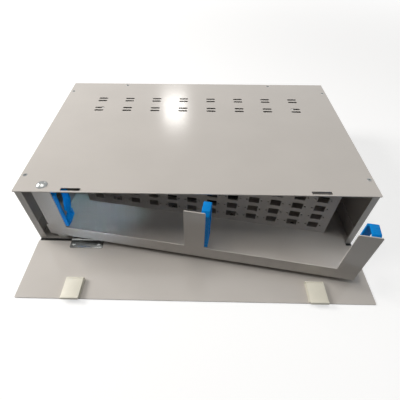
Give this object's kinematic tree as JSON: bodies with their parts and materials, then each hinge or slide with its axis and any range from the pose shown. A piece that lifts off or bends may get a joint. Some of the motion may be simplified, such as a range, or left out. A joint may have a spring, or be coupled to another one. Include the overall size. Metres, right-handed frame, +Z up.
{
  "type": "fibre patch panel",
  "caption": "Sheet-steel rack-mount fibre patch panel with a swing-out adapter tray, blue cable rings and a drop-down front door with spring latches, shown open.",
  "frame": {"origin": "middle of the casing's underside", "axes": "+Z up, -Y to the front where the door opens, +X to the right seen from the front"},
  "size_m": [0.42, 0.3768, 0.091],
  "materials": {
    "painted_steel": "satin powder coat",
    "zinc_steel": "bright zinc plate",
    "white_nylon": "moulded nylon",
    "blue_plastic": "glossy moulded plastic",
    "cream_plastic": "moulded plastic",
    "black_plastic": "moulded plastic",
    "black_rubber": "moulded rubber"
  },
  "bodies": {
    "casing": {"side_wall_left": "painted_steel", "side_wall_right": "painted_steel", "rear_wall": "painted_steel", "base_plate": "painted_steel", "top_cover": "painted_steel", "cable_clamp_left": "painted_steel", "cable_clamp_right": "painted_steel", "wall_rivets": "painted_steel", "cover_screws": "zinc_steel", "pivot_bolt": "zinc_steel", "pivot_stud": "zinc_steel", "pivot_nuts": "zinc_steel", "casing_leaf_screws": "zinc_steel", "earth_stud": "zinc_steel", "earth_nuts": "zinc_steel", "casing_hinge_leaf_left": "zinc_steel", "casing_hinge_leaf_right": "zinc_steel", "hinge_pin_left": "zinc_steel", "hinge_pin_right": "zinc_steel", "pivot_washer": "white_nylon", "pivot_spacer": "white_nylon", "glide_pads": "white_nylon", "cable_grommet_left": "black_rubber", "cable_grommet_right": "black_rubber"},
    "tray": {"tray_pan": "painted_steel", "adapter_panel": "painted_steel", "panel_screws": "zinc_steel", "cable_ring_left": "blue_plastic", "cable_ring_middle": "blue_plastic", "cable_ring_right": "blue_plastic", "splice_tray_1": "black_plastic", "splice_tray_2": "black_plastic", "splice_tray_3": "black_plastic", "splice_tray_4": "black_plastic", "splice_cover": "black_plastic", "splice_studs": "zinc_steel", "splice_nuts": "zinc_steel"},
    "door": {"door_panel": "painted_steel", "door_hinge_leaf_left": "zinc_steel", "door_hinge_leaf_right": "zinc_steel", "door_leaf_screws": "zinc_steel", "latch_base_left": "cream_plastic", "latch_base_right": "cream_plastic"},
    "left_tongue": {"latch_tongue_left": "cream_plastic"},
    "right_tongue": {"latch_tongue_right": "cream_plastic"}
  },
  "joints": [
    {"name": "tray_swing", "type": "hinge", "parent": "casing", "child": "tray", "pos_m": [-0.179, -0.1253, 0], "axis": [0, 0, 1], "range_deg": [-80, 9.6]},
    {"name": "door_hinge", "type": "hinge", "parent": "casing", "child": "door", "pos_m": [0, -0.1374, 0.0019], "axis": [1, 0, 0], "range_deg": [0, 90]},
    {"name": "latch_left_press", "type": "hinge", "parent": "door", "child": "left_tongue", "pos_m": [-0.1435, -0.2001, 0.0038], "axis": [1, 0, 0], "range_deg": [0, 4.4], "stiffness_Nm_per_rad": 0.3},
    {"name": "latch_right_press", "type": "hinge", "parent": "door", "child": "right_tongue", "pos_m": [0.1435, -0.2001, 0.0038], "axis": [1, 0, 0], "range_deg": [0, 4.4], "stiffness_Nm_per_rad": 0.3}
  ]
}
